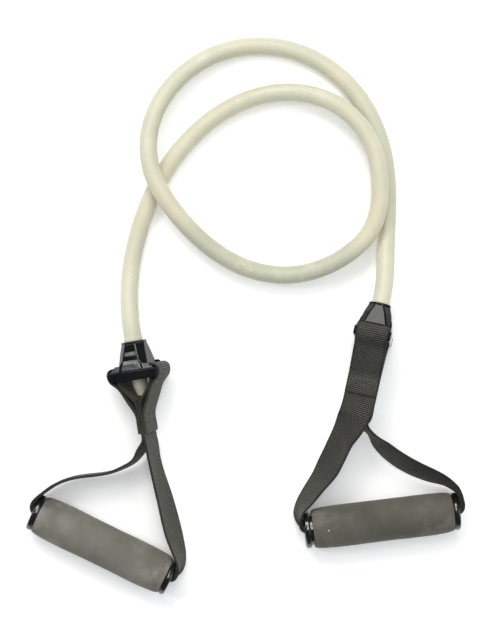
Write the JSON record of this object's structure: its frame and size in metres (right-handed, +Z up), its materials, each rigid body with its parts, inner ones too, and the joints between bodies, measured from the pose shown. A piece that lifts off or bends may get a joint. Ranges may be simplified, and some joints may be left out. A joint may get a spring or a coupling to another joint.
{
  "type": "resistance band",
  "caption": "Latex resistance tube in a relaxed loop, with a moulded connector, webbing stirrup and foam handle at each end.",
  "frame": {"origin": "on the table, under the middle of the object's box as it lies relaxed", "axes": "+Z up; +Y from the handles towards the coil of the tube; +X from the left handle to the right one"},
  "size_m": [0.3472, 0.4456, 0.0495],
  "materials": {
    "latex": "satin, pale grey-beige, slightly mottled",
    "plug": "natural moulded plastic",
    "connector": "gloss black, moulded",
    "webbing": "ribbed nylon webbing, dark grey-black",
    "thread": "bonded nylon thread",
    "handle_core": "extruded black plastic",
    "foam": "matt closed-cell foam",
    "end_cap": "gloss black, moulded"
  },
  "bodies": {
    "tube": {"tube_coil": "latex", "left_tube_run": "latex", "right_tube_run": "latex"},
    "left_tube_tip": {"left_tube_end": "latex", "left_stopper_plug": "plug"},
    "left_anchor": {"left_connector": "connector", "left_strap_loops": "webbing", "left_strap_stitching": "thread"},
    "left_stirrup": {"left_strap": "webbing"},
    "left_grip": {"left_handle_core": "handle_core", "left_foam_grip": "foam", "left_cap_outer": "end_cap", "left_cap_inner": "end_cap"},
    "right_tube_tip": {"right_tube_end": "latex", "right_stopper_plug": "plug"},
    "right_anchor": {"right_connector": "connector", "right_strap_loops": "webbing", "right_strap_stitching": "thread"},
    "right_stirrup": {"right_strap": "webbing"},
    "right_grip": {"right_handle_core": "handle_core", "right_foam_grip": "foam", "right_cap_inner": "end_cap", "right_cap_outer": "end_cap"}
  },
  "joints": [
    {"name": "left_stretch", "type": "slide", "parent": "tube", "child": "left_tube_tip", "axis": [0.1599, -0.9871, 0], "range_m": [0, 0.18], "stiffness_N_per_m": 900, "deforming": ["left_tube_run"]},
    {"name": "left_swivel", "type": "hinge", "parent": "left_tube_tip", "child": "left_anchor", "pos_m": [-0.0876, -0.0202, 0.0208], "axis": [0.1599, -0.9871, 0], "continuous": true},
    {"name": "left_fold", "type": "hinge", "parent": "left_anchor", "child": "left_stirrup", "pos_m": [-0.07529, -0.09621, 0.0208], "axis": [-0.305, -0.0494, 0.9511], "range_deg": [-75, 75]},
    {"name": "left_spin", "type": "hinge", "parent": "left_stirrup", "child": "left_grip", "pos_m": [-0.1127, -0.1826, 0.0166], "axis": [0.8988, -0.4384, 0], "continuous": true},
    {"name": "right_stretch", "type": "slide", "parent": "tube", "child": "right_tube_tip", "axis": [-0.225, -0.9744, 0], "range_m": [0, 0.18], "stiffness_N_per_m": 900, "deforming": ["right_tube_run"]},
    {"name": "right_swivel", "type": "hinge", "parent": "right_tube_tip", "child": "right_anchor", "pos_m": [0.1081, 0.009, 0.0223], "axis": [-0.2233, -0.9671, 0.1219], "continuous": true},
    {"name": "right_fold", "type": "hinge", "parent": "right_anchor", "child": "right_stirrup", "pos_m": [0.09091, -0.06547, 0.03168], "axis": [-0.9667, 0.2036, -0.1553], "range_deg": [-75, 75]},
    {"name": "right_spin", "type": "hinge", "parent": "right_stirrup", "child": "right_grip", "pos_m": [0.1103, -0.1631, 0.0166], "axis": [0.9925, 0.1219, 0], "continuous": true}
  ]
}
